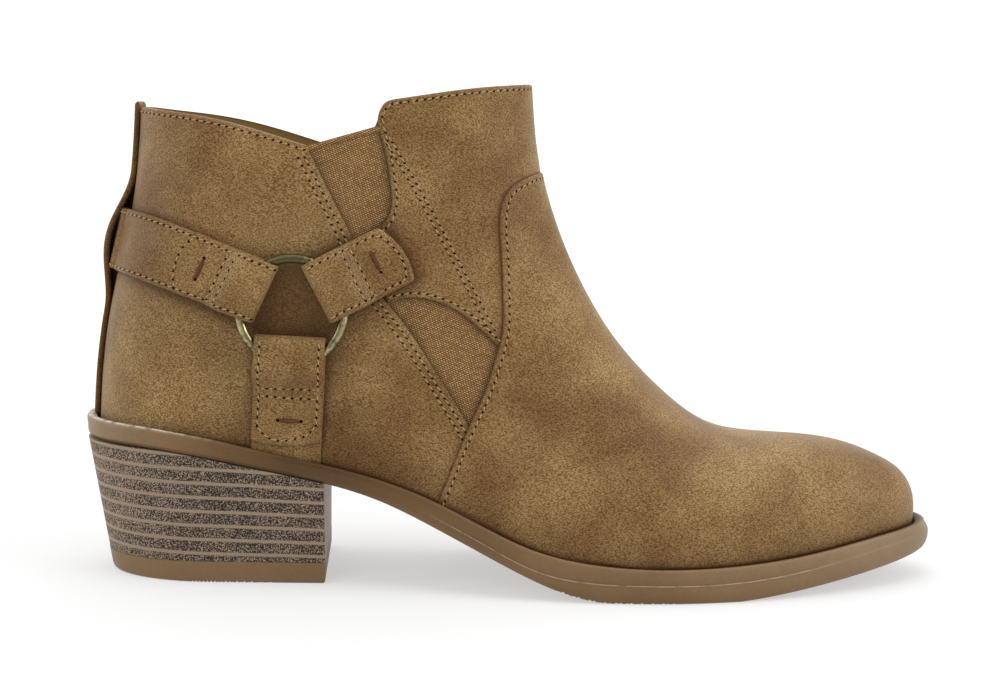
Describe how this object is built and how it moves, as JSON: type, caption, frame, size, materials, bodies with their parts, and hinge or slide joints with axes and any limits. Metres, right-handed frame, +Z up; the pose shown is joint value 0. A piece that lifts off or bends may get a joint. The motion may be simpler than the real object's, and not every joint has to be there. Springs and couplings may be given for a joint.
{
  "type": "block heel boot",
  "caption": "Right ankle boot with a hollow last-shaped leather upper, elastic gores, a ring harness round the heel and a moulded sole on a stacked block heel.",
  "frame": {"origin": "centre of the bounding box in plan, on the floor", "axes": "+X to the toe, +Y to the inner (medial) side of this right boot, +Z up"},
  "size_m": [0.256, 0.0875, 0.1467],
  "materials": {
    "sole": "brown moulded sole, satin",
    "stack": "stacked-wood look in brown bands",
    "lift": "plain brown lift",
    "sock": "pale sock lining",
    "gore": "woven elastic and lining",
    "leather": "mottled tan, brushed and matt",
    "ring": "antique brass"
  },
  "bodies": {
    "root": {"outsole": "sole", "heel_block": "stack", "heel_lift": "lift", "insole": "sock", "upper": "gore", "vamp": "leather", "front_panel": "leather", "quarter_lateral": "leather", "quarter_medial": "leather", "backstay": "leather", "heel_strap": "leather", "ring_tab_lateral": "leather", "ring_tab_medial": "leather", "sole_tab_lateral": "leather", "sole_tab_medial": "leather", "ring_lateral": "ring", "ring_medial": "ring"}
  },
  "joints": []
}
